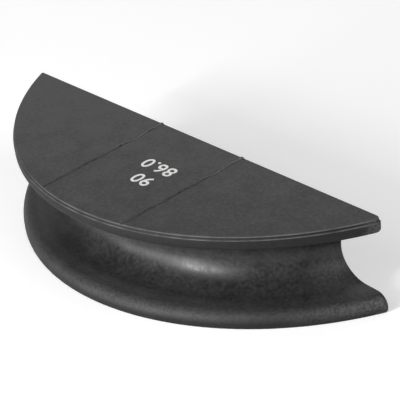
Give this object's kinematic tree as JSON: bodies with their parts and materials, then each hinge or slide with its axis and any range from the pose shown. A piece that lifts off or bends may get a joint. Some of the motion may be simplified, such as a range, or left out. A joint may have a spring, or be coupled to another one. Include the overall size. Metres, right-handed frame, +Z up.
{
  "type": "pipe bender former",
  "caption": "Grooved segment of a disc that a tube is bent round, with a flat back that has a blind socket for the nose of the ram.",
  "frame": {"origin": "middle of the footprint, on the face that the former stands on", "axes": "+X along the flat back, +Y out of the flat back, +Z up; the groove faces -Y"},
  "size_m": [0.1676, 0.0546, 0.0326],
  "materials": {
    "former": "black glass-fibre-filled polyamide, moulded, matt top and rubbed groove"
  },
  "bodies": {
    "root": {"former": "former"}
  },
  "joints": []
}
